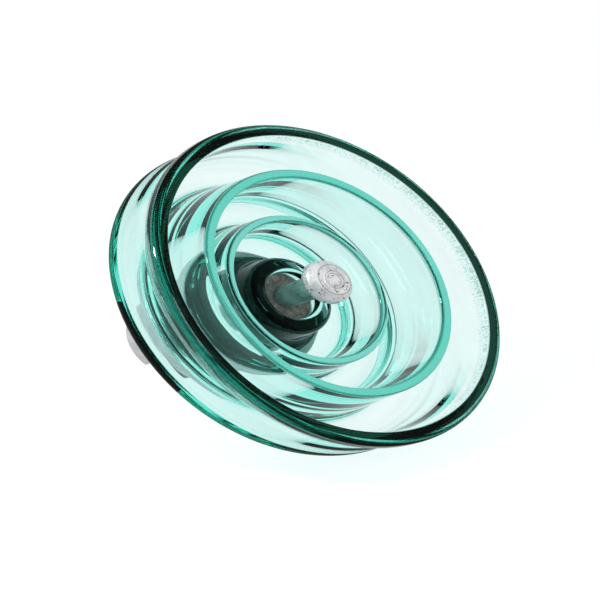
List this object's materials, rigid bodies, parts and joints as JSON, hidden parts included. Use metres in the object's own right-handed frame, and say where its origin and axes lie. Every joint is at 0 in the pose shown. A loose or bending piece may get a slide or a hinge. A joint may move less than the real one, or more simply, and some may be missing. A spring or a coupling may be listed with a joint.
{
  "type": "glass suspension insulator",
  "caption": "Cap-and-pin disc insulator: ribbed toughened glass disc cemented between a metal socket cap and a ball-ended pin, with a sliding locking key.",
  "frame": {"origin": "coupling centre of the cap's ball socket, on the disc's axis", "axes": "+Z along the disc's axis from the pin to the cap, which is up when the insulator hangs in a string; +X out of the open side of the socket, opposite the locking key's eye"},
  "size_m": [0.254, 0.254, 0.1479],
  "materials": {
    "toughened_glass": "clear teal-green toughened glass, polished",
    "galvanised_cap": "hot-dip galvanised casting, dull",
    "galvanised_pin": "hot-dip galvanised forging, satin with a fine grain",
    "cement": "cured dark cement, matt and grainy",
    "cork": "pressed cork, matt",
    "phosphor_bronze": "drawn bronze wire, satin"
  },
  "bodies": {
    "insulator": {"glass_shell": "toughened_glass", "cap": "galvanised_cap", "cap_cement": "cement", "cap_cushion": "cork", "pin": "galvanised_pin", "pin_cement": "cement", "pin_cushion": "cork"},
    "key": {"locking_key": "phosphor_bronze"}
  },
  "joints": [
    {"name": "key_slide", "type": "slide", "parent": "insulator", "child": "key", "axis": [-1, 0, 0], "range_m": [0, 0.03]}
  ]
}
